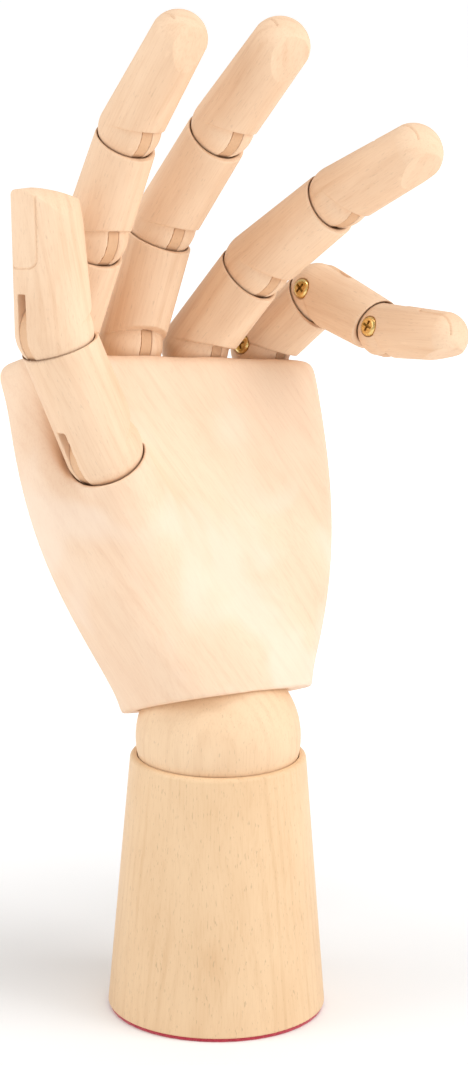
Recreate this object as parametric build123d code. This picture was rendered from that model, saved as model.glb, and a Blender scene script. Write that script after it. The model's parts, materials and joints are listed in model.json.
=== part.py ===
from build123d import *
import math
import os

# Articulated wooden artist's hand on a turned stand. Millimetres, +Z up.
# Origin: centre of the underside of the stand. The palm looks towards -Y and
# the little finger is on the +X side. The hand is drawn in its posed position.

# ---- stand ----
pad_radius = 30.4
pad_thickness = 1.0
base_bottom_radius = 31.0
base_top_radius = 24.8
base_top_height = 75.0
base_rim_round = 1.3
base_foot_round = 0.6

# ---- wrist ball and spring ----
ball_radius = 23.3
ball_height = 80.1
cup_gap = 0.3
bore_radius = 5.5
ball_flare_radius = 9.0
anchor_recess_radius = 11.0
anchor_recess_height = 9.0
spring_wire_radius = 0.6
spring_coil_radius = 3.3
spring_coils = 18
pin_radius = 1.25
base_pin_length = 26.0
palm_pin_length = 18.0
palm_pin_height = 46.0

# ---- posed wrist ----
lean_back = 20.6
lean_side = 4.3

# ---- palm block ----
palm_bottom = 10.0
knuckle_line_drop = 5.0
palm_top_round = 3.0

# ---- thumb mound on the palm ----
mound_length = 58.0
mound_foot = 17.0
thumb_rim_drop = 3.2
scoop_half_angle = 16.0
scoop_lean_out = 10.0
scoop_lean_forward = 14.0

# ---- every hinge in the hand ----
tongue_thickness = 3.2
slot_width = 3.5
tongue_depth = 16.0
tongue_share = 0.96
stem_share = 0.68
slot_share = 1.012
slot_back_share = 1.04
socket_gap = 0.25
rim_back_drop = 2.9
rim_front_drop = 5.5
relief_rise = 0.68
palm_relief_rise = 0.92
relief_reach_back = 0.25
shank_radius = 1.25
running_gap = 0.05
head_radius = 2.8
head_height = 1.5
head_sink = 1.4

# ---- finger tips ----
tip_dome = 0.85
pad_share = 0.42
pad_slant = 20.0
nail_cut = 0.4

# Each digit: where its knuckle turns in the palm, how it stands, and its sizes.
# "lengths" run from one hinge to the next and last to the finger tip.
# "radii" are at the knuckle, the hinges above it, and the tip.
digits = {
    "index": {
        "knuckle": (-34.0, 0.0, 114.0), "spread": -1.5, "lean": 0.0, "turn": 2.0,
        "bends": (41.0, 1.0, 14.0), "lengths": (34.0, 33.0, 39.6),
        "radii": (9.5, 9.3, 8.7, 7.6), "head_side": 1,
    },
    "middle": {
        "knuckle": (-11.3, 0.0, 112.6), "spread": -9.0, "lean": 0.0, "turn": 0.0,
        "bends": (30.5, 25.0, 6.0), "lengths": (36.0, 36.8, 39.6),
        "radii": (9.5, 9.3, 8.8, 8.0), "head_side": 1,
    },
    "ring": {
        "knuckle": (11.2, 0.0, 111.3), "spread": -8.2, "lean": 0.0, "turn": 9.7,
        "bends": (54.0, 15.0, 9.0), "lengths": (32.7, 35.4, 36.7),
        "radii": (9.7, 9.7, 8.9, 8.0), "head_side": 1,
    },
    "little": {
        "knuckle": (34.2, 0.0, 110.1), "spread": -8.3, "lean": 0.0, "turn": 13.0,
        "bends": (62.5, 60.0, -18.0), "lengths": (26.4, 28.2, 28.8),
        "radii": (8.8, 8.7, 7.7, 6.6), "head_side": -1,
    },
    "thumb": {
        "knuckle": (-37.2, -18.6, 80.5), "spread": 27.8, "lean": 15.0, "turn": 86.0,
        "bends": (0.0, 22.0), "lengths": (37.0, 39.2),
        "radii": (10.8, 10.7, 9.3), "head_side": 1,
    },
}
segment_names = ("proximal", "middle", "distal")
thumb_segment_names = ("proximal", "distal")

DIAGONAL = math.sqrt(0.5)
parts = {}


def palm_frame():
    return Pos(0, 0, ball_height) * Rot(X=-lean_back) * Rot(Y=lean_side)


def digit_frames(digit):
    """The placement of every hinge of one digit: +Z along the piece, -Y palmwards."""
    place = palm_frame() * Pos(*digit["knuckle"])
    place = place * Rot(Y=-digit["spread"]) * Rot(X=digit["lean"]) * Rot(Z=digit["turn"])
    frames = [place * Rot(X=digit["bends"][0])]
    for k in range(1, len(digit["bends"])):
        step = Pos(0, 0, digit["lengths"][k - 1]) * Rot(X=digit["bends"][k])
        frames.append(frames[-1] * step)
    return frames


def tongue(radius, hole):
    """Flat hinge tongue: a disc about the hinge on a stem that is glued in a slot."""
    disc = Rot(Y=90) * Cylinder(tongue_share * radius, tongue_thickness)
    stem = Box(tongue_thickness, 2 * stem_share * radius, tongue_depth)
    body = disc + Pos(0, 0, -tongue_depth / 2) * stem
    if hole:
        body -= Rot(Y=90) * Cylinder(shank_radius + running_gap, tongue_thickness + 2)
    return body


def tongue_pocket(radius):
    """The glue slot below a socket that takes a tongue's stem."""
    stem = Box(tongue_thickness, 2 * stem_share * radius, tongue_depth)
    return Pos(0, 0, -tongue_depth / 2) * stem


def above_rim(radius, height):
    """Everything above a digit's slanted socket rim, which is lower on the palm side."""
    drop = (rim_back_drop + rim_front_drop) / 2
    slope = math.degrees(math.atan2(rim_front_drop - rim_back_drop, 2 * radius))
    block = Pos(0, 0, 20) * Box(60, 60, 40)
    return Pos(0, 0, height - drop) * Rot(X=slope) * block


def hinge_screw(radius, side):
    """Round-headed cross-slot screw lying along the hinge, head on the given side."""
    seat = radius - head_sink
    far = radius - 2.2
    shank = Pos((far - seat) / 2, 0, 0) * Rot(Y=90) * Cylinder(shank_radius, seat + far)
    head = Pos(-seat - head_height / 2, 0, 0) * Rot(Y=90) * Cylinder(head_radius, head_height)
    crown_edges = head.edges().group_by(Axis.X)[0]
    head = fillet(crown_edges, 1.1)
    for turn in (0, 90):
        cross = Rot(X=turn + 20) * Box(1.8, 3.2, 0.7)
        head -= Pos(-seat - head_height, 0, 0) * cross
    screw = shank + head
    return screw if side < 0 else mirror(screw, about=Plane.YZ)


def knuckle_cuts(radius, side, relief_height):
    """The fork slot, the palm-side relief, and the screw's hole and head recess."""
    outside = radius + 3
    slot = Polyline(
        (-outside, -outside),
        (outside, -outside),
        (outside, slot_back_share * radius),
        (0, slot_back_share * radius),
        (0, 0),
        (-outside, 0),
        close=True,
    )
    slot = extrude(Plane.YZ * make_face(slot), slot_width / 2, both=True)
    slot += Rot(Y=90) * Cylinder(slot_share * radius, slot_width)
    # above the hinge the palm side is cut back to a ball, up to a slanted lip
    slope = relief_height / (1 + relief_reach_back)
    wedge = Polyline(
        (relief_reach_back * radius, 0),
        (-outside, 0),
        (-outside, slope * (outside + relief_reach_back * radius)),
        close=True,
    )
    relief = extrude(Plane.YZ * make_face(wedge), outside, both=True)
    relief -= Sphere(radius - 0.02)
    seat = radius - head_sink
    far = radius - 2.2
    hole = Pos((far - seat) / 2, 0, 0) * Rot(Y=90) * Cylinder(shank_radius, seat + far)
    recess = Pos(-seat - 5, 0, 0) * Rot(Y=90) * Cylinder(head_radius + 0.2, 10)
    drilled = hole + recess
    if side > 0:
        drilled = mirror(drilled, about=Plane.YZ)
    return slot, relief, drilled


def segment(length, low, high, side, in_palm):
    """A finger piece: fork knuckle below, socket for the next knuckle above."""
    top = length - 1.0
    outline = Curve() + [
        Line((0, length + 2), (0, -low)),
        ThreePointArc((0, -low), (low * DIAGONAL, -low * DIAGONAL), (low, 0)),
        Line((low, 0), (high, top)),
        Line((high, top), (high, length + 2)),
        Line((high, length + 2), (0, length + 2)),
    ]
    body = revolve(make_face(Plane.XZ * outline), axis=Axis.Z)
    body -= above_rim(high, length)
    body -= Pos(0, 0, length) * Sphere(high + socket_gap)
    body -= Pos(0, 0, length) * tongue_pocket(high)
    rise = palm_relief_rise if in_palm else relief_rise
    for cut in knuckle_cuts(low, side, rise):
        body -= cut
    return body


def tip_solid(length, low, tip, square, inset):
    """A fingertip's turned blank: ball knuckle, slight taper, square or domed end."""
    rise = tip_dome * tip
    bottom = low - inset
    knuckle = ThreePointArc((0, -bottom), (bottom * DIAGONAL, -bottom * DIAGONAL), (bottom, 0))
    if square:
        end = tip - inset
        ending = [Line((bottom, 0), (end, length)), Line((end, length), (0, length))]
    else:
        half = tip + (low - tip) * rise / length
        dome_radius = (half**2 + rise**2) / (2 * rise) - inset
        dome_centre = length - dome_radius - inset
        edge = half - inset
        turn = math.asin(edge / dome_radius)
        shoulder = dome_centre + dome_radius * math.cos(turn)
        middle = (
            dome_radius * math.sin(turn / 2),
            dome_centre + dome_radius * math.cos(turn / 2),
        )
        crown = (0, length - inset)
        ending = [Line((bottom, 0), (edge, shoulder)), ThreePointArc((edge, shoulder), middle, crown)]
        length = length - inset
    outline = Curve() + [Line((0, length), (0, -bottom)), knuckle] + ending
    return revolve(make_face(Plane.XZ * outline), axis=Axis.Z)


def fingertip(length, low, tip, side, square):
    """The last piece: domed or square tip, long slanted finger pad, incised nail."""
    shoulder = length - tip_dome * tip
    half = tip + (low - tip) * tip_dome * tip / length
    body = tip_solid(length, low, tip, square, 0)
    if square:
        # seen from the palm the end is a dome; seen from the side it falls from the nail
        wide = low + 5
        dome = Curve() + [
            Line((-wide, length + wide), (-wide, shoulder)),
            Line((-wide, shoulder), (-half, shoulder)),
            ThreePointArc((-half, shoulder), (0, length), (half, shoulder)),
            Line((half, shoulder), (wide, shoulder)),
            Line((wide, shoulder), (wide, length + wide)),
            Line((wide, length + wide), (-wide, length + wide)),
        ]
        body -= extrude(Plane.XZ * make_face(dome), wide, both=True)
        low_side = length - 0.7 * tip
        fall = Curve() + [
            ThreePointArc((wide, length), (0.1 * tip, length - 0.09 * tip), (-tip, low_side)),
            Line((-tip, low_side), (-wide, low_side)),
            Line((-wide, low_side), (-wide, length + wide)),
            Line((-wide, length + wide), (wide, length + wide)),
            Line((wide, length + wide), (wide, length)),
        ]
        body -= extrude(Plane.YZ * make_face(fall), wide, both=True)
    # finger pad: a flat cut slanting from the tip down the palm side
    pad = Pos(0, -pad_share * tip, length) * Rot(X=-pad_slant) * Pos(0, -20, -30) * Box(60, 40, 100)
    body -= pad
    # nail: a narrow groove in the back of the finger
    nail_half = 0.62 * tip
    nail_low = length - 2.3 * tip
    nail_high = length + 2
    nail_tall = nail_high - nail_low
    nail_middle = (nail_low + nail_high) / 2
    outer = Pos(0, 0, nail_middle) * Box(2 * nail_half, 4 * tip, nail_tall)
    outer = fillet(outer.edges().filter_by(Axis.Y).group_by(Axis.Z)[0], 0.45 * nail_half)
    inner_half = nail_half - 0.5
    inner = Pos(0, 0, nail_middle + 0.5) * Box(2 * inner_half, 6 * tip, nail_tall)
    inner = fillet(inner.edges().filter_by(Axis.Y).group_by(Axis.Z)[0], 0.4 * nail_half)
    ring = Pos(0, 2 * tip, 0) * (outer - inner)
    core = tip_solid(length, low, tip, square, nail_cut)
    body -= ring - core
    for cut in knuckle_cuts(low, side, relief_rise):
        body -= cut
    return body


# ---------------------------------------------------------------- stand
stand = Pos(0, 0, pad_thickness) * Cone(
    base_bottom_radius, base_top_radius, base_top_height - pad_thickness,
    align=(Align.CENTER, Align.CENTER, Align.MIN),
)
stand = fillet(stand.edges().group_by(Axis.Z)[-1], base_rim_round)
stand = fillet(stand.edges().group_by(Axis.Z)[0], base_foot_round)
stand -= Pos(0, 0, ball_height) * Sphere(ball_radius + cup_gap)
stand -= Cylinder(bore_radius, 70, align=(Align.CENTER, Align.CENTER, Align.MIN))
stand -= Cylinder(
    anchor_recess_radius, anchor_recess_height, align=(Align.CENTER, Align.CENTER, Align.MIN)
)
anchor_height = anchor_recess_height + pin_radius
base_pin = Pos(0, 0, anchor_height) * Rot(Y=90) * Cylinder(pin_radius, base_pin_length)
pin_groove = Pos(0, 0, anchor_recess_height) * Box(base_pin_length, 2 * pin_radius, 2 * pin_radius)
stand -= base_pin
stand -= pin_groove
parts["base_stand"] = stand
parts["felt_pad"] = Pos(0, 0, pad_thickness / 2) * Cylinder(pad_radius, pad_thickness)
parts["base_spring_pin"] = base_pin

# ---------------------------------------------------------------- wrist ball
ball = Sphere(ball_radius) - Cylinder(bore_radius, 60)
for end in (0, 180):
    flare = Pos(0, 0, 7) * Cone(
        bore_radius, ball_flare_radius, ball_radius - 7,
        align=(Align.CENTER, Align.CENTER, Align.MIN),
    )
    ball -= Rot(X=end) * flare
ball_place = Pos(0, 0, ball_height) * Rot(X=-lean_back / 2) * Rot(Y=lean_side / 2)
parts["wrist_ball"] = ball_place * ball

# ---------------------------------------------------------------- wrist spring
# The spring's middle line runs up the stand, bends through the ball, and runs up the palm.
up = Vector(0, 0, 1)
tip_point = (palm_frame() * Pos(0, 0, 1)).position
heart = Vector(0, 0, ball_height)
palm_up = tip_point - heart
bend = 14.0
low_end = anchor_height + 2.6
high_end = palm_pin_height - 2.6
low_run = ball_height - bend - low_end
high_run = high_end - bend


def spring_axis(t):
    """A point and two cross directions a fraction t along the bent spring."""
    total = low_run + 2 * bend + high_run
    s = t * total
    if s < low_run:
        point = Vector(0, 0, low_end + s)
        along = up
    elif s > low_run + 2 * bend:
        point = heart + palm_up * (bend + s - low_run - 2 * bend)
        along = palm_up
    else:
        u = (s - low_run) / (2 * bend)
        start = heart - up * bend
        end = heart + palm_up * bend
        point = start * (1 - u) ** 2 + heart * (2 * u * (1 - u)) + end * u**2
        along = ((heart - start) * (1 - u) + (end - heart) * u).normalized()
    across = Vector(1, 0, 0).cross(along).normalized()
    side = along.cross(across)
    return point, across, side


steps = spring_coils * 10
coil_points = []
for i in range(steps + 1):
    t = i / steps
    point, across, side = spring_axis(t)
    angle = 2 * math.pi * spring_coils * t
    swing = across * math.cos(angle) + side * math.sin(angle)
    coil_points.append(point + swing * spring_coil_radius)
coil = Spline(*coil_points)
coil_start = Plane(origin=coil @ 0, z_dir=coil % 0)
parts["wrist_spring"] = sweep(coil_start * Circle(spring_wire_radius), path=coil)

# ---------------------------------------------------------------- palm block
# Five level outlines of the carved block, as half sizes to each side and a corner radius.
palm_outlines = (
    # height, thumb side, little side, front, back, corner
    (palm_bottom, 23.3, 25.7, 22.6, 22.6, 15.5),
    (30.0, 34.7, 36.4, 20.0, 18.8, 14.0),
    (55.0, 46.4, 45.2, 16.5, 15.0, 12.0),
    (82.0, 51.6, 48.8, 13.6, 12.8, 10.0),
    (116.0, 52.6, 49.0, 11.8, 11.8, 8.5),
)
faces = []
for height, left, right, front, back, corner in palm_outlines:
    outline = RectangleRounded(left + right, front + back, corner)
    faces.append(Pos((right - left) / 2, (back - front) / 2, height) * outline)
block = loft(faces)
first = digits["index"]["knuckle"]
last = digits["little"]["knuckle"]
top_slope = math.degrees(math.atan2(first[2] - last[2], last[0] - first[0]))
top_cut = Pos(first[0], 0, first[2] - knuckle_line_drop) * Rot(Y=top_slope)
block -= top_cut * (Pos(30, 0, 25) * Box(260, 100, 50))
top_edges = block.edges().filter_by_position(Axis.Z, 95, 116)
block = fillet(top_edges, palm_top_round)

# thumb mound: a tapered swelling that carries the thumb's socket
thumb = digits["thumb"]
thumb_place = Pos(*thumb["knuckle"]) * Rot(Y=-thumb["spread"]) * Rot(X=thumb["lean"])
mound_rim = thumb["radii"][0] + 0.7
mound = thumb_place * Pos(0, 0, -mound_length) * Cone(
    mound_foot, mound_rim, mound_length - thumb_rim_drop,
    align=(Align.CENTER, Align.CENTER, Align.MIN),
)
mound_box = Pos(0, 0, palm_bottom + 60) * Box(140, 120, 120)
block += mound & mound_box
# room behind the thumb: a widening scoop from its socket up and out of the block
scoop_turn = Rot(Z=thumb["turn"]) * Rot(X=-scoop_lean_out) * Rot(Y=-scoop_lean_forward)
scoop_height = 80.0
scoop_spread = scoop_height * math.tan(math.radians(scoop_half_angle))
scoop = thumb_place * scoop_turn * Pos(0, 0, -thumb_rim_drop) * Cone(
    mound_rim + 0.2, mound_rim + 0.2 + scoop_spread, scoop_height,
    align=(Align.CENTER, Align.CENTER, Align.MIN),
)
block -= scoop

# sockets, glued tongues, and the wrist's cup and bore
block -= Sphere(ball_radius + cup_gap)
block -= Cylinder(bore_radius, palm_pin_height + 8, align=(Align.CENTER, Align.CENTER, Align.MIN))
palm_pin = Pos(0, 0, palm_pin_height) * Rot(Y=90) * Cylinder(pin_radius, palm_pin_length)
block -= palm_pin
palm_side = palm_frame()
for name, digit in digits.items():
    seat = Pos(*digit["knuckle"]) * Rot(Y=-digit["spread"])
    seat = seat * Rot(X=digit["lean"]) * Rot(Z=digit["turn"])
    radius = digit["radii"][0]
    block -= seat * Sphere(radius + socket_gap)
    block -= seat * tongue_pocket(radius)
    parts[name + "_knuckle_tongue"] = palm_side * seat * tongue(radius, True)
parts["palm"] = palm_side * block
parts["palm_spring_pin"] = palm_side * palm_pin

# ---------------------------------------------------------------- thumb and fingers
for name, digit in digits.items():
    frames = digit_frames(digit)
    radii = digit["radii"]
    lengths = digit["lengths"]
    side = digit["head_side"]
    names = thumb_segment_names if name == "thumb" else segment_names
    for k, part_name in enumerate(names):
        place = frames[k]
        if k == len(names) - 1:
            piece = fingertip(lengths[k], radii[k], radii[k + 1], side, name == "thumb")
        else:
            piece = segment(lengths[k], radii[k], radii[k + 1], side, k == 0)
            hinge = place * Pos(0, 0, lengths[k])
            next_name = names[k + 1]
            parts[name + "_" + next_name + "_tongue"] = hinge * tongue(radii[k + 1], True)
        parts[name + "_" + part_name] = place * piece
        parts[name + "_" + part_name + "_screw"] = place * hinge_screw(radii[k], side)

os.makedirs("parts", exist_ok=True)
for node, shape in parts.items():
    export_step(shape, "parts/" + node + ".step")
    print(node, len(shape.solids()), round(shape.volume, 1))
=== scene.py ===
import json
import math

import bmesh
import bpy
import numpy as np
from mathutils import Matrix, Vector

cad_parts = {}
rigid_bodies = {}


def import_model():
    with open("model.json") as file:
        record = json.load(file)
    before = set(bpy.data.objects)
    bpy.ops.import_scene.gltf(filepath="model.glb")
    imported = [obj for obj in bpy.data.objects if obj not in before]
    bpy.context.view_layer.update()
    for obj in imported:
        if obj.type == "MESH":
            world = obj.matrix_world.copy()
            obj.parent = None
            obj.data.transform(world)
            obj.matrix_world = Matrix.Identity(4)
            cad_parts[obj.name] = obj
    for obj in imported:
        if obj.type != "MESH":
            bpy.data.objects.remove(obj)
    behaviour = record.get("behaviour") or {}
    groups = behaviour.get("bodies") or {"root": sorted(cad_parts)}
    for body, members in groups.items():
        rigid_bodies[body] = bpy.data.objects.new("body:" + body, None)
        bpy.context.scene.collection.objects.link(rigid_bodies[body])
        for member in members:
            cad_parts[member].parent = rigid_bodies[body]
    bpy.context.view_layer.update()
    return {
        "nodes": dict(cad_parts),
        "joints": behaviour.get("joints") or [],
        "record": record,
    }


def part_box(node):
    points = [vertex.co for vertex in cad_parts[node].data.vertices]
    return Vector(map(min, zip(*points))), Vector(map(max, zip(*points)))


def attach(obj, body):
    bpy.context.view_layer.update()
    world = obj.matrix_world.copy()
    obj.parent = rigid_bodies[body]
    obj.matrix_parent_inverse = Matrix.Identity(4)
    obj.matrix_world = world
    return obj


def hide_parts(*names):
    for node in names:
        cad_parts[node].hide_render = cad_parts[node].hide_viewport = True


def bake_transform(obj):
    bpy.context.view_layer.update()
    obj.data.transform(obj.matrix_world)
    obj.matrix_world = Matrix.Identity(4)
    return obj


# Looks for the jointed wooden artist's hand. Metres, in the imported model's own frame.

MM = 0.001
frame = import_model()

# ---- camera and room ----
CAMERA_PLACE = Vector((-0.5634, -0.7578, 0.3747))
CAMERA_AZIMUTH = -36.87
CAMERA_ELEVATION = 14.01
CAMERA_ROLL = 0.48
CAMERA_LENS = 118.38
SENSOR = 36.0
FLOOR_SIZE = 16.0
FLOOR_GLOW = 0.42
GLOW_START = 0.03
GLOW_FULL = 0.55
WORLD_LIGHT = 0.62
LIGHT_AIM = Vector((0, 0, 0.17))
# name, azimuth and elevation in degrees, distance and size in metres, power in watts
SOFT_LIGHTS = (
    ("left_box", -108.0, 32.0, 1.3, 0.8, 4.5),
    ("right_box", 34.0, 28.0, 1.3, 0.8, 7.5),
    ("top_box", 0.0, 74.0, 1.3, 0.45, 4.0),
)

# ---- how finely the carved wood is remeshed, how soft its edges are, and the wrist ----
FINGER_VOXEL = 0.30 * MM
EASE_ROUNDS = 4
FINGER_KEEP = 0.30
TIP_VOXEL = 0.19 * MM
TIP_KEEP = 0.14
BORE_RADIUS = 5.5 * MM
PALM_VOXEL = 0.60 * MM
PALM_ROUNDS = 700
PALM_KEEP = 0.45

# ---- wood tones, as linear colours ----
FINGER_LIGHT = (0.880, 0.640, 0.440)
FINGER_DARK = (0.735, 0.470, 0.290)
PALM_LIGHT = (0.900, 0.670, 0.480)
PALM_DARK = (0.790, 0.520, 0.345)
BALL_LIGHT = (0.880, 0.640, 0.415)
BALL_DARK = (0.760, 0.505, 0.300)
BASE_LIGHT = (0.860, 0.610, 0.375)
BASE_DARK = (0.740, 0.480, 0.265)
# the tongues get a darker copy of the maple: painted shade for where they sit in their slots
SHADED_TONGUE_LIGHT = (0.720, 0.450, 0.265)
SHADED_TONGUE_DARK = (0.600, 0.345, 0.185)
# painted shade: concave places, joint gaps and socket faces are darkened towards this brown
SEAM_SHADE_BROWN = (0.220, 0.095, 0.040)
PALE_BLOOM = (0.920, 0.760, 0.620)


# ------------------------------------------------------------ node helpers
def add_node(tree, kind, settings=None, **inputs):
    """Adds one shader node; keyword inputs use underscores for spaces in socket names."""
    node = tree.nodes.new(kind)
    for name, value in (settings or {}).items():
        setattr(node, name, value)
    for name, value in inputs.items():
        socket = node.inputs[name.replace("_", " ")]
        if isinstance(value, bpy.types.NodeSocket):
            tree.links.new(value, socket)
        else:
            socket.default_value = value
    return node


def math_node(tree, operation, first, second=0.0, clamp=False):
    node = tree.nodes.new("ShaderNodeMath")
    node.operation = operation
    node.use_clamp = clamp
    for socket, value in zip(node.inputs, (first, second)):
        if isinstance(value, bpy.types.NodeSocket):
            tree.links.new(value, socket)
        else:
            socket.default_value = value
    return node.outputs[0]


def ramp(tree, factor, low, high):
    """A smooth 0 to 1 step of a value between two limits."""
    node = tree.nodes.new("ShaderNodeMapRange")
    node.interpolation_type = "SMOOTHSTEP"
    tree.links.new(factor, node.inputs["Value"])
    node.inputs["From Min"].default_value = low
    node.inputs["From Max"].default_value = high
    return node.outputs["Result"]


def mix(tree, factor, first, second, blend="MIX"):
    node = tree.nodes.new("ShaderNodeMix")
    node.data_type = "RGBA"
    node.blend_type = blend
    for name, value in (("Factor_Float", factor), ("A_Color", first), ("B_Color", second)):
        socket = next(s for s in node.inputs if s.identifier == name)
        if isinstance(value, bpy.types.NodeSocket):
            tree.links.new(value, socket)
        elif name == "Factor_Float":
            socket.default_value = value
        else:
            socket.default_value = (*value, 1.0)
    return next(s for s in node.outputs if s.identifier == "Result_Color")


def stretched(tree, coords, across, along):
    """Coordinates scaled across and along the grain, which runs along local Z."""
    node = add_node(tree, "ShaderNodeVectorMath", {"operation": "MULTIPLY"})
    tree.links.new(coords, node.inputs[0])
    node.inputs[1].default_value = (across, across, along)
    return node.outputs[0]


def noise(tree, coords, scale, detail=3.0, roughness=0.5, distortion=0.0):
    node = add_node(
        tree, "ShaderNodeTexNoise", Vector=coords, Scale=scale, Detail=detail,
        Roughness=roughness, Distortion=distortion,
    )
    return node.outputs["Fac"]


def new_material(name):
    material = bpy.data.materials.new(name)
    material.use_nodes = True
    tree = material.node_tree
    tree.nodes.clear()
    shader = tree.nodes.new("ShaderNodeBsdfPrincipled")
    output = tree.nodes.new("ShaderNodeOutputMaterial")
    tree.links.new(shader.outputs["BSDF"], output.inputs["Surface"])
    return material, tree, shader


def millimetres(tree, attribute):
    """Grain coordinates in millimetres: from a stored attribute, or the object's own space."""
    if attribute:
        stored = add_node(tree, "ShaderNodeAttribute", {"attribute_name": "grain"})
        return stored.outputs["Vector"]
    source = add_node(tree, "ShaderNodeTexCoord").outputs["Object"]
    node = add_node(tree, "ShaderNodeVectorMath", {"operation": "SCALE"})
    tree.links.new(source, node.inputs[0])
    node.inputs["Scale"].default_value = 1 / MM
    return node.outputs[0]


def wood(
    name, light, dark, stored=True, flecks=0.3, bands=0.35, bloom=0.0, gloss=0.5, shade_sockets=True
):
    """Pale close-grained hardwood: fibres, growth bands, short brown flecks, a painted highlight on
    convex edges and painted shade in concave places and sockets.
    """
    material, tree, shader = new_material(name)
    place = millimetres(tree, stored)
    warp = add_node(
        tree, "ShaderNodeTexNoise", Vector=stretched(tree, place, 0.05, 0.012),
        Scale=1.0, Detail=2.0,
    )
    bent = add_node(tree, "ShaderNodeVectorMath", {"operation": "MULTIPLY_ADD"})
    tree.links.new(warp.outputs["Color"], bent.inputs[0])
    bent.inputs[1].default_value = (7.0, 7.0, 0.0)
    tree.links.new(place, bent.inputs[2])
    bent = bent.outputs[0]
    # growth bands: rings about a heart well outside the piece
    heart = add_node(tree, "ShaderNodeVectorMath", {"operation": "MULTIPLY_ADD"})
    tree.links.new(bent, heart.inputs[0])
    heart.inputs[1].default_value = (1.0, 1.0, 0.03)
    heart.inputs[2].default_value = (34.0, 47.0, 0.0)
    ring_radius = add_node(tree, "ShaderNodeVectorMath", {"operation": "LENGTH"})
    tree.links.new(heart.outputs[0], ring_radius.inputs[0])
    ring = math_node(tree, "MULTIPLY", ring_radius.outputs["Value"], 1.9)
    ring = math_node(tree, "SINE", ring)
    ring = ramp(tree, ring, -0.2, 1.1)
    band_noise = noise(tree, stretched(tree, bent, 0.16, 0.02), 1.0, 2.0)
    band = math_node(tree, "MULTIPLY", ring, ramp(tree, band_noise, 0.35, 0.7))
    # broad cloudy tone
    cloud = noise(tree, stretched(tree, place, 0.055, 0.028), 1.0, 3.0, 0.55)
    cloud = ramp(tree, cloud, 0.3, 0.72)
    # fine fibres along the grain
    fibre = noise(tree, stretched(tree, bent, 2.1, 0.075), 1.0, 5.0, 0.62)
    fine = noise(tree, stretched(tree, bent, 6.5, 0.35), 1.0, 3.0, 0.6)
    tone = math_node(tree, "MULTIPLY", cloud, 0.42)
    tone = math_node(tree, "ADD", tone, math_node(tree, "MULTIPLY", band, bands))
    streak = math_node(tree, "MULTIPLY", ramp(tree, fibre, 0.42, 0.75), 0.34)
    tone = math_node(tree, "ADD", tone, streak, True)
    colour = mix(tree, tone, light, dark)
    # short flecks, a few millimetres long and a fifth of one wide
    fleck = noise(tree, stretched(tree, bent, 2.6, 0.42), 1.0, 2.0, 0.45)
    fleck = math_node(tree, "MULTIPLY", ramp(tree, fleck, 0.635, 0.72), flecks)
    brown = tuple(0.58 * value for value in dark)
    colour = mix(tree, fleck, colour, brown)
    if bloom:
        # chalky bloom where the sanding dust stays in the carved block
        patch = noise(tree, stretched(tree, place, 0.034, 0.03), 1.0, 2.0, 0.5, 0.4)
        patch = math_node(tree, "MULTIPLY", ramp(tree, patch, 0.48, 0.66), bloom)
        colour = mix(tree, patch, colour, PALE_BLOOM)
    # painted highlight makes convex edges paler, and painted shade makes concave places darker
    point = add_node(tree, "ShaderNodeNewGeometry").outputs["Pointiness"]
    edge_highlight = math_node(tree, "MULTIPLY", ramp(tree, point, 0.52, 0.60), 0.28)
    colour = mix(tree, edge_highlight, colour, tuple(min(1.0, 1.08 * value) for value in light))
    # painted shade: concave places darken towards the seam shade brown
    depth = math_node(tree, "SUBTRACT", 0.5, point)
    hollow_shade = math_node(tree, "MULTIPLY", ramp(tree, depth, 0.015, 0.09), 0.55)
    colour = mix(tree, hollow_shade, colour, SEAM_SHADE_BROWN)
    # painted shade: faces marked by the 'inside' attribute darken towards the seam shade brown
    if shade_sockets:
        inside = add_node(tree, "ShaderNodeAttribute", {"attribute_name": "inside"}).outputs["Fac"]
        colour = mix(tree, math_node(tree, "MULTIPLY", inside, 0.8), colour, SEAM_SHADE_BROWN)
    tree.links.new(colour, shader.inputs["Base Color"])
    rough = math_node(tree, "MULTIPLY", fibre, 0.2)
    rough = math_node(tree, "ADD", rough, gloss)
    tree.links.new(rough, shader.inputs["Roughness"])
    shader.inputs["Specular IOR Level"].default_value = 0.34
    # bump: open fibres and flecks
    coarse_part = math_node(tree, "MULTIPLY", fibre, 0.55)
    fine_part = math_node(tree, "MULTIPLY", fine, 0.45)
    height = math_node(tree, "ADD", coarse_part, fine_part)
    height = math_node(tree, "SUBTRACT", height, math_node(tree, "MULTIPLY", fleck, 0.5))
    bump = add_node(tree, "ShaderNodeBump", Strength=0.22, Distance=0.00006, Height=height)
    tree.links.new(bump.outputs["Normal"], shader.inputs["Normal"])
    return material


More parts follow.
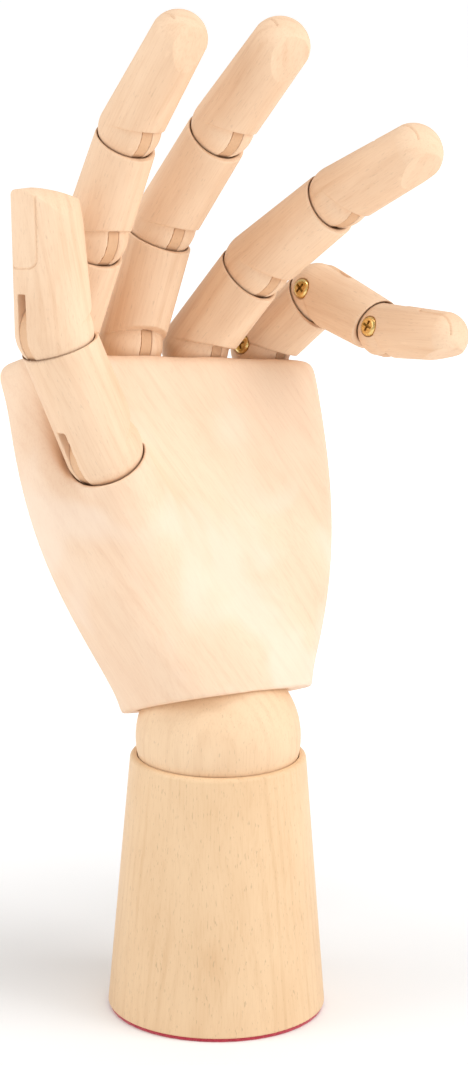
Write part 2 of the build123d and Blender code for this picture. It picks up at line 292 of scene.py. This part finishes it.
def brass():
    """Brass plate with turning marks, small scratches and painted shade down in the cross."""
    material, tree, shader = new_material("brass_plate")
    place = millimetres(tree, False)
    stain = ramp(tree, noise(tree, stretched(tree, place, 0.9, 0.9), 1.0, 4.0, 0.6), 0.4, 0.75)
    stain = math_node(tree, "MULTIPLY", stain, 0.55)
    colour = mix(tree, stain, (0.83, 0.60, 0.24), (0.55, 0.34, 0.11))
    # painted shade: concave places such as the cross recess darken towards a near-black brown
    point = add_node(tree, "ShaderNodeNewGeometry").outputs["Pointiness"]
    hollow_shade = ramp(tree, math_node(tree, "SUBTRACT", 0.5, point), 0.01, 0.08)
    colour = mix(tree, math_node(tree, "MULTIPLY", hollow_shade, 0.7), colour, (0.16, 0.09, 0.03))
    tree.links.new(colour, shader.inputs["Base Color"])
    shader.inputs["Metallic"].default_value = 1.0
    scratch = noise(tree, stretched(tree, place, 9.0, 2.0), 1.0, 3.0, 0.6)
    rough = math_node(tree, "ADD", math_node(tree, "MULTIPLY", scratch, 0.22), 0.16)
    tree.links.new(rough, shader.inputs["Roughness"])
    bump = add_node(tree, "ShaderNodeBump", Strength=0.25, Distance=0.00003, Height=scratch)
    tree.links.new(bump.outputs["Normal"], shader.inputs["Normal"])
    return material


def steel():
    """Drawn spring wire: grey, with long die lines and a little oil stain."""
    material, tree, shader = new_material("drawn_wire")
    place = millimetres(tree, False)
    stain = ramp(tree, noise(tree, stretched(tree, place, 0.6, 0.6), 1.0, 4.0, 0.6), 0.35, 0.7)
    colour = mix(tree, stain, (0.56, 0.56, 0.57), (0.34, 0.32, 0.30))
    tree.links.new(colour, shader.inputs["Base Color"])
    shader.inputs["Metallic"].default_value = 1.0
    line = noise(tree, stretched(tree, place, 8.0, 3.0), 1.0, 2.0)
    tree.links.new(
        math_node(tree, "ADD", math_node(tree, "MULTIPLY", line, 0.25), 0.22), shader.inputs["Roughness"]
    )
    bump = add_node(tree, "ShaderNodeBump", Strength=0.3, Distance=0.00002, Height=line)
    tree.links.new(bump.outputs["Normal"], shader.inputs["Normal"])
    return material


def felt():
    """Pressed red felt: matted fibres, no gloss, a soft sheen."""
    material, tree, shader = new_material("pressed_felt")
    place = millimetres(tree, False)
    mat = noise(tree, place, 1.6, 6.0, 0.7, 1.2)
    tuft = noise(tree, place, 0.35, 3.0, 0.5)
    colour = mix(tree, ramp(tree, mat, 0.3, 0.7), (0.42, 0.025, 0.05), (0.68, 0.09, 0.12))
    colour = mix(tree, math_node(tree, "MULTIPLY", tuft, 0.4), colour, (0.50, 0.03, 0.07))
    tree.links.new(colour, shader.inputs["Base Color"])
    tree.links.new(
        math_node(tree, "ADD", math_node(tree, "MULTIPLY", mat, 0.1), 0.85), shader.inputs["Roughness"]
    )
    shader.inputs["Specular IOR Level"].default_value = 0.2
    shader.inputs["Sheen Weight"].default_value = 0.5
    shader.inputs["Sheen Roughness"].default_value = 0.5
    bump = add_node(tree, "ShaderNodeBump", Strength=0.8, Distance=0.0002, Height=mat)
    tree.links.new(bump.outputs["Normal"], shader.inputs["Normal"])
    return material


# ------------------------------------------------------------ frame facts
joints = {joint["child"]: joint for joint in frame["joints"]}
node_body = {
    node: body
    for body, nodes in frame["record"]["behaviour"]["bodies"].items()
    for node in nodes
}


def joint_place(body):
    return Vector(joints[body]["pos_m"])


def vertices_of(mesh):
    points = np.zeros(len(mesh.vertices) * 3, np.float32)
    mesh.vertices.foreach_get("co", points)
    return points.reshape(-1, 3).astype(float)


def long_axis(points, hinge_axis):
    """The direction a piece is longest in, square to its hinge."""
    centred = points - points.mean(0)
    centred = centred - np.outer(centred @ hinge_axis, hinge_axis)
    values, vectors = np.linalg.eigh(centred.T @ centred)
    axis = vectors[:, -1]
    return axis if axis[2] >= 0 else -axis


def piece_axes(node, points):
    """Local axes of a piece as rows: across, across, along the grain."""
    hinge = np.array(joints[node_body[node]]["axis"], float)
    hinge = hinge / np.linalg.norm(hinge)
    along = long_axis(points, hinge)
    across = np.cross(along, hinge)
    return np.array([hinge, across, along])


# ------------------------------------------------------------ carved wood pieces
def welded_copy(node):
    """A clean closed copy of a CAD node's mesh."""
    mesh = frame["nodes"][node].data.copy()
    shape = bmesh.new()
    shape.from_mesh(mesh)
    bmesh.ops.remove_doubles(shape, verts=shape.verts, dist=1e-6)
    shape.to_mesh(mesh)
    shape.free()
    return mesh


def applied(piece):
    """The piece's mesh with its modifiers applied."""
    bpy.context.view_layer.update()
    depsgraph = bpy.context.evaluated_depsgraph_get()
    mesh = bpy.data.meshes.new_from_object(piece.evaluated_get(depsgraph))
    piece.modifiers.clear()
    piece.data = mesh
    return mesh


def smooth_step(value, low, high):
    t = np.clip((value - low) / (high - low), 0, 1)
    return t * t * (3 - 2 * t)


def set_weights(piece, weights):
    group = piece.vertex_groups.new(name="soft")
    for level in range(21):
        share = level / 20
        chosen = np.nonzero(np.abs(weights - share) <= 0.025)[0]
        if level and len(chosen):
            group.add([int(i) for i in chosen], share, "REPLACE")


def store_grain(mesh, axes, origin, offset):
    """Grain coordinates in millimetres, along the piece's own axes."""
    points = vertices_of(mesh)
    local = (points - np.array(origin)) @ axes.T / MM + np.array(offset)
    attribute = mesh.attributes.new("grain", "FLOAT_VECTOR", "POINT")
    attribute.data.foreach_set("vector", local.astype(np.float32).ravel())


# the painted joint-gap shade, stored per vertex as the 'inside' attribute
def store_socket_shade(mesh, values):
    attribute = mesh.attributes.new("inside", "FLOAT", "POINT")
    attribute.data.foreach_set("value", values.astype(np.float32))


def sockets_of(body):
    """Hinge centres of the pieces that turn in sockets on this body."""
    return [joint_place(child) for child, joint in joints.items() if joint["parent"] == body]


def carve(node, material, voxel, keep_share, number, soft_palm=False):
    """A remeshed copy of a wooden node, with slightly rounded edges, that stands for it."""
    mesh = welded_copy(node)
    piece = bpy.data.objects.new(node + "_wood", mesh)
    bpy.context.collection.objects.link(piece)
    source_points = vertices_of(mesh)
    axes = piece_axes(node, source_points)
    remesh = piece.modifiers.new("remesh", "REMESH")
    remesh.mode = "VOXEL"
    remesh.voxel_size = voxel
    remesh.use_smooth_shade = True
    mesh = applied(piece)
    if soft_palm:
        set_weights(piece, palm_softness(vertices_of(mesh)))
        blend = piece.modifiers.new("blend", "SMOOTH")
        blend.factor = 0.5
        blend.iterations = PALM_ROUNDS
        blend.vertex_group = "soft"
    ease = piece.modifiers.new("ease", "SMOOTH")
    ease.factor = 0.5
    ease.iterations = EASE_ROUNDS
    thin = piece.modifiers.new("thin", "DECIMATE")
    thin.ratio = keep_share
    mesh = applied(piece)
    piece.vertex_groups.clear()
    mesh.shade_smooth()
    points = vertices_of(mesh)
    store_grain(mesh, axes, source_points.mean(0), (13.7 * number, 29.3 * number, 41.9 * number))
    store_socket_shade(mesh, socket_shade_share(node, points))
    mesh.materials.clear()
    mesh.materials.append(material)
    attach(piece, node_body[node])
    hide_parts(node)
    return piece


def palm_softness(points):
    """Where the carved palm flows together: 0 at its sockets and cup rim, 1 on open faces."""
    soft = np.ones(len(points))
    for centre, reach in palm_sockets():
        distance = np.linalg.norm(points - np.array(centre), axis=1)
        soft *= smooth_step(distance, reach + 0.6 * MM, reach + 4.5 * MM)
    wrist = np.array(joint_place("palm"))
    up = palm_up()
    height = (points - wrist) @ up
    soft *= smooth_step(height, 10.8 * MM, 15.0 * MM)
    soft *= 1 - 0.85 * smooth_step(height, height.max() - 12 * MM, height.max() - 4 * MM)
    # the spring's bore keeps its size: it runs from the wrist to the cross pin
    low, high = (np.array(corner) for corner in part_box("palm_spring_pin"))
    along = (low + high) / 2 - wrist
    along = along / np.linalg.norm(along)
    offset = points - wrist
    from_bore = np.linalg.norm(offset - np.outer(offset @ along, along), axis=1)
    soft *= smooth_step(from_bore, BORE_RADIUS + 0.8 * MM, BORE_RADIUS + 4 * MM)
    return soft


def palm_up():
    """The palm block's own upward direction: square to the wrist's two bending axes."""
    tilt = np.array(joints["palm"]["axis"], float)
    knuckles = [np.array(joint_place(name)) for name in ("index_proximal", "little_proximal")]
    wrist = np.array(joint_place("palm"))
    up = (knuckles[0] + knuckles[1]) / 2 - wrist
    up = up - tilt * (up @ tilt)
    return up / np.linalg.norm(up)


def palm_sockets():
    """Each digit's socket in the palm: its centre and radius, from the knuckle that sits in it."""
    found = []
    for body, joint in joints.items():
        if joint["parent"] == "palm":
            centre = joint_place(body)
            axis = np.array(joint["axis"], float)
            points = vertices_of(frame["nodes"][body].data) - np.array(centre)
            radius = np.abs(points @ axis).max()
            found.append((centre, radius))
    return found


def socket_shade_share(node, points):
    """Painted shade for the joint gaps: 1 on faces inside sockets, bores and slots, 0 on the outside."""
    share = np.zeros(len(points))
    body = node_body[node]
    for centre in sockets_of(body):
        child = next(name for name, joint in joints.items()
                     if joint["parent"] == body and (joint_place(name) - centre).length < 1e-6)
        if child in ("spring", "ball"):
            continue
        axis = np.array(joints[child]["axis"], float)
        ball = vertices_of(frame["nodes"][child].data) - np.array(centre)
        radius = np.abs(ball @ axis).max()
        distance = np.linalg.norm(points - np.array(centre), axis=1)
        share = np.maximum(share, 1 - smooth_step(distance, radius + 0.3 * MM, radius + 0.75 * MM))
    return share


# ------------------------------------------------------------ felt pad
def felt_disc(material):
    """The felt pad: a thin disc whose cut edge is a little uneven and fuzzy."""
    low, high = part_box("felt_pad")
    radius = (high.x - low.x) / 2
    around = 220
    rings = 5
    shape = bmesh.new()
    loops = []
    for level in range(rings):
        share = level / (rings - 1)
        height = low.z + (high.z - low.z) * share
        bulge = 0.12 * MM * math.sin(math.pi * share) - 0.12 * MM
        loop = []
        for step in range(around):
            angle = 2 * math.pi * step / around
            wave = math.sin(37 * angle + 1.7 * level) + math.sin(61 * angle - 2.3 * level)
            reach = radius + bulge + 0.03 * MM * wave
            loop.append(shape.verts.new((reach * math.cos(angle), reach * math.sin(angle), height)))
        loops.append(loop)
    for below, above in zip(loops, loops[1:]):
        for step in range(around):
            after = (step + 1) % around
            shape.faces.new((below[step], below[after], above[after], above[step]))
    shape.faces.new(list(reversed(loops[0])))
    shape.faces.new(loops[-1])
    mesh = bpy.data.meshes.new("felt_disc")
    shape.to_mesh(mesh)
    shape.free()
    mesh.materials.append(material)
    piece = bpy.data.objects.new("felt_disc", mesh)
    bpy.context.collection.objects.link(piece)
    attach(piece, "stand")
    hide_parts("felt_pad")


# ------------------------------------------------------------ tension spring
def bending_spring(material):
    """The spring, a fixed copy of the CAD wire, stays upright in the stand's bore."""
    mesh = welded_copy("wrist_spring")
    mesh.shade_smooth()
    mesh.materials.clear()
    mesh.materials.append(material)
    piece = bpy.data.objects.new("bending_spring", mesh)
    bpy.context.collection.objects.link(piece)
    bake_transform(piece)
    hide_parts("wrist_spring")


# ------------------------------------------------------------ camera, light and floor
def make_camera():
    azimuth = math.radians(CAMERA_AZIMUTH)
    elevation = math.radians(CAMERA_ELEVATION)
    roll = math.radians(CAMERA_ROLL)
    back = Vector((
        math.sin(azimuth) * math.cos(elevation),
        -math.cos(azimuth) * math.cos(elevation),
        math.sin(elevation),
    ))
    level = Vector((math.cos(azimuth), math.sin(azimuth), 0))
    upright = back.cross(level)
    right = math.cos(roll) * level + math.sin(roll) * upright
    up = math.cos(roll) * upright - math.sin(roll) * level
    turn = Matrix((right, up, back)).transposed().to_4x4()
    data = bpy.data.cameras.new("camera")
    data.lens = CAMERA_LENS
    data.sensor_width = SENSOR
    data.clip_end = 50.0
    camera = bpy.data.objects.new("camera", data)
    camera.matrix_world = Matrix.Translation(CAMERA_PLACE) @ turn
    bpy.context.collection.objects.link(camera)
    bpy.context.scene.camera = camera


def soft_light(name, azimuth, elevation, distance, size, power):
    """A square soft box that looks at the middle of the hand."""
    aim = LIGHT_AIM
    a = math.radians(azimuth)
    e = math.radians(elevation)
    back = Vector((math.sin(a) * math.cos(e), -math.cos(a) * math.cos(e), math.sin(e)))
    data = bpy.data.lights.new(name, "AREA")
    data.size = size
    data.energy = power
    lamp = bpy.data.objects.new(name, data)
    lamp.location = aim + back * distance
    lamp.rotation_mode = "QUATERNION"
    lamp.rotation_quaternion = back.to_track_quat("Z", "Y")
    bpy.context.collection.objects.link(lamp)


def make_room():
    shape = bmesh.new()
    bmesh.ops.create_grid(shape, x_segments=1, y_segments=1, size=FLOOR_SIZE / 2)
    mesh = bpy.data.meshes.new("floor")
    shape.to_mesh(mesh)
    shape.free()
    floor = bpy.data.objects.new("floor", mesh)
    bpy.context.collection.objects.link(floor)
    material, tree, shader = new_material("white_paper")
    shader.inputs["Base Color"].default_value = (0.93, 0.93, 0.93, 1.0)
    shader.inputs["Roughness"].default_value = 0.8
    shader.inputs["Emission Color"].default_value = (1.0, 1.0, 1.0, 1.0)
    # the paper glows only well away from the hand, so that its soft shadow stays
    place = add_node(tree, "ShaderNodeTexCoord").outputs["Object"]
    reach = add_node(tree, "ShaderNodeVectorMath", {"operation": "LENGTH"})
    tree.links.new(place, reach.inputs[0])
    away = ramp(tree, reach.outputs["Value"], GLOW_START, GLOW_FULL)
    glow = math_node(tree, "MULTIPLY", away, FLOOR_GLOW)
    tree.links.new(glow, shader.inputs["Emission Strength"])
    mesh.materials.append(material)
    world = bpy.data.worlds.new("studio")
    bpy.context.scene.world = world
    world.use_nodes = True
    background = world.node_tree.nodes["Background"]
    background.inputs["Color"].default_value = (1.0, 1.0, 1.0, 1.0)
    background.inputs["Strength"].default_value = WORLD_LIGHT
    for light in SOFT_LIGHTS:
        soft_light(*light)
    bpy.context.scene.view_settings.view_transform = "Standard"


# ------------------------------------------------------------ putting it together
make_camera()
make_room()
finger_wood = wood("finger_maple", FINGER_LIGHT, FINGER_DARK, flecks=0.22)
palm_wood = wood("palm_maple", PALM_LIGHT, PALM_DARK, flecks=0.12, bands=0.22, bloom=0.5, gloss=0.42)
ball_wood = wood("ball_maple", BALL_LIGHT, BALL_DARK, stored=False, flecks=0.3, shade_sockets=False)
base_wood = wood("base_maple", BASE_LIGHT, BASE_DARK, stored=False, flecks=0.4, gloss=0.4, shade_sockets=False)
# darker copy of the maple: painted shade for the tongues in their slots
shaded_tongue_wood = wood("tongue_maple", SHADED_TONGUE_LIGHT, SHADED_TONGUE_DARK, stored=False, flecks=0.3, shade_sockets=False)
brass_plate = brass()
drawn_wire = steel()
pressed_felt = felt()

turned_finish = {
    "wrist_ball": ball_wood,
    "base_stand": base_wood,
}
digit_segments = [
    name for name in sorted(frame["nodes"])
    if name.endswith(("_proximal", "_middle", "_distal"))
]
for node, thing in frame["nodes"].items():
    if node.endswith("_screw"):
        finish = brass_plate
    elif node.endswith("_pin"):
        finish = drawn_wire
    elif node.endswith("_tongue"):
        finish = shaded_tongue_wood
    else:
        finish = turned_finish.get(node)
    if finish:
        thing.data.materials.clear()
        thing.data.materials.append(finish)

for number, node in enumerate(digit_segments):
    tip = node.endswith("_distal")
    voxel, kept = (TIP_VOXEL, TIP_KEEP) if tip else (FINGER_VOXEL, FINGER_KEEP)
    carve(node, finger_wood, voxel, kept, number + 1)
carve("palm", palm_wood, PALM_VOXEL, PALM_KEEP, 0, soft_palm=True)
felt_disc(pressed_felt)
bending_spring(drawn_wire)

bpy.context.view_layer.update()
